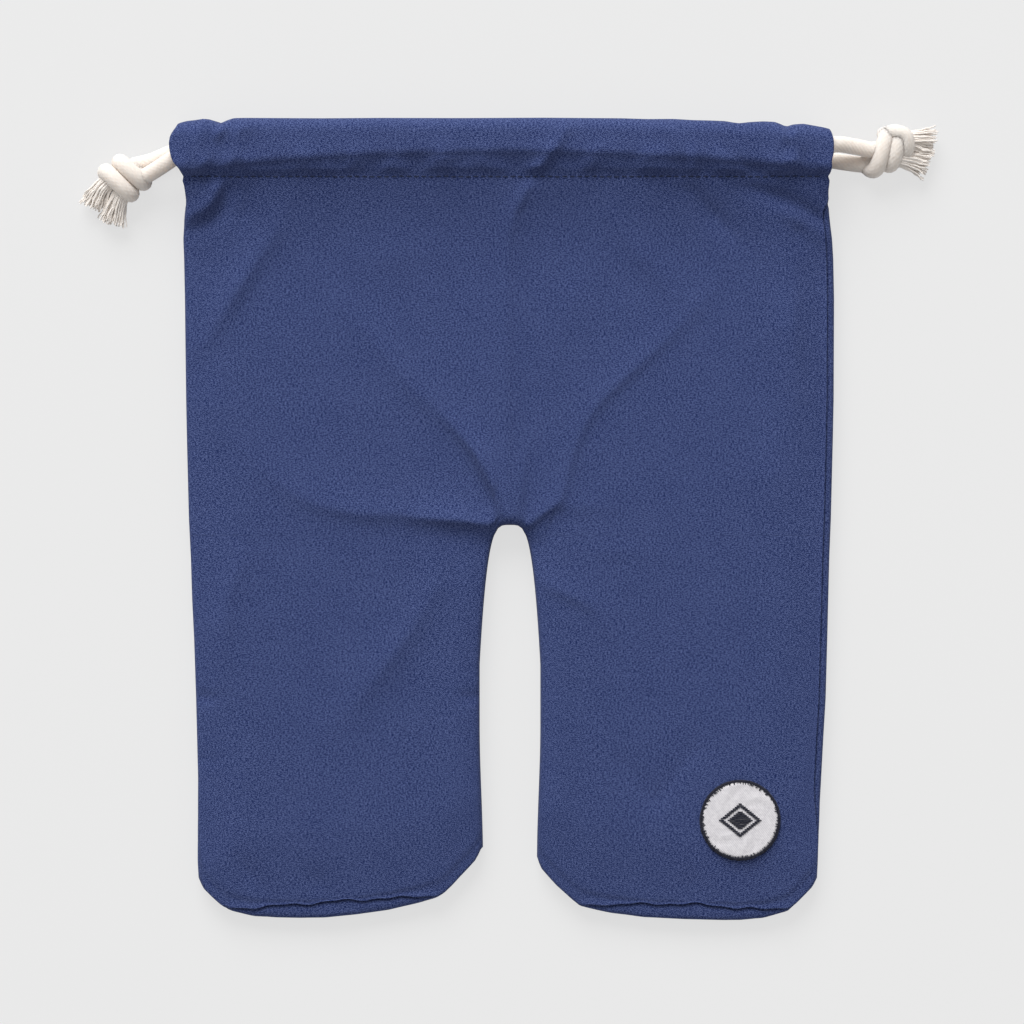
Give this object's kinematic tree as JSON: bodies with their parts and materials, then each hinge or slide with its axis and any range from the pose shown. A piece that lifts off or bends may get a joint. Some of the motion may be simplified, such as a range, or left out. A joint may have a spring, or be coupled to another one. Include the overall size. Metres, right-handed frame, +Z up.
{
  "type": "canvas shoe bag",
  "caption": "Flat canvas drawstring bag shaped like short trousers, with one leg for each shoe, knotted cotton cords and a round sewn-on badge.",
  "frame": {"origin": "On the table, under the middle of the cloth (cords and knots left out)", "axes": "+Y from the legs to the mouth, +X to the wearer's side with the badge, +Z up from the table"},
  "size_m": [0.4278, 0.3999, 0.0272],
  "materials": {
    "navy_canvas": "matt plain-weave cotton canvas",
    "cream_cotton": "matt braided cotton cord",
    "white_twill": "white embroidered twill",
    "dark_thread": "dark navy embroidery thread"
  },
  "bodies": {
    "root": {"front_panel": "navy_canvas", "back_panel": "navy_canvas", "left_drawstring": "cream_cotton", "left_knot": "cream_cotton", "left_frayed_end_1": "cream_cotton", "left_frayed_end_2": "cream_cotton", "right_drawstring": "cream_cotton", "right_knot": "cream_cotton", "right_frayed_end_1": "cream_cotton", "right_frayed_end_2": "cream_cotton", "badge_ground": "white_twill", "badge_border": "dark_thread", "badge_diamond": "dark_thread", "badge_diamond_centre": "dark_thread"}
  },
  "joints": []
}
